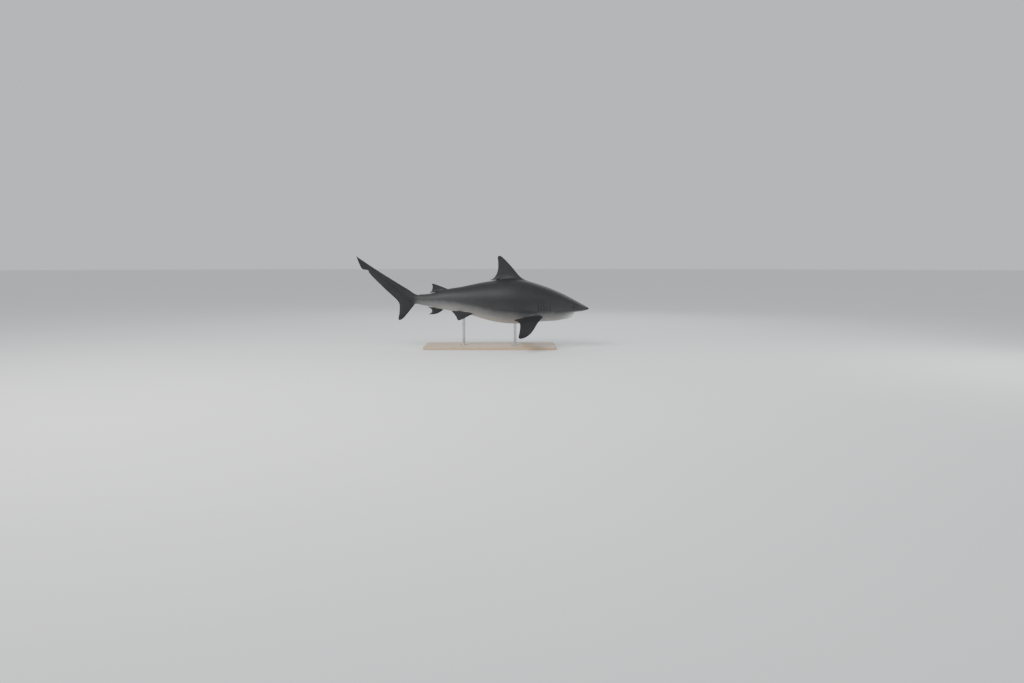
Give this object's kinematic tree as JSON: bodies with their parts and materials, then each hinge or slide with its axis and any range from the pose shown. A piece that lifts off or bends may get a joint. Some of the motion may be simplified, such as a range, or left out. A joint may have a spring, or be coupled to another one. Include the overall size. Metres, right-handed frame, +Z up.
{
  "type": "bull shark",
  "caption": "Life-size still model of a bull shark swimming level, tail mid-stroke and mouth closed, on a plain flat base with short steel rods.",
  "frame": {"origin": "on the floor, under the middle of the model's box", "axes": "+X towards the snout, +Y towards the animal's left, +Z up; the body tips 3.3 degrees nose down"},
  "size_m": [2.2802, 1.1374, 0.9107],
  "materials": {
    "skin": "fine-grained shark skin, dark slate grey above and pale below, satin",
    "eye": "polished, dark",
    "stand_wood": "satin lacquer",
    "stand_steel": "brushed"
  },
  "bodies": {
    "root": {"head": "skin", "lower_jaw": "skin", "trunk": "skin", "tail": "skin", "caudal_fin_upper": "skin", "caudal_fin_lower": "skin", "dorsal_fin_first": "skin", "dorsal_fin_second": "skin", "anal_fin": "skin", "pectoral_fin_left": "skin", "pectoral_fin_right": "skin", "pelvic_fin_left": "skin", "pelvic_fin_right": "skin", "eye_left": "eye", "eye_right": "eye", "stand_base": "stand_wood", "stand_rod_front": "stand_steel", "stand_rod_rear": "stand_steel", "stand_collar_front": "stand_steel", "stand_collar_rear": "stand_steel"}
  },
  "joints": []
}
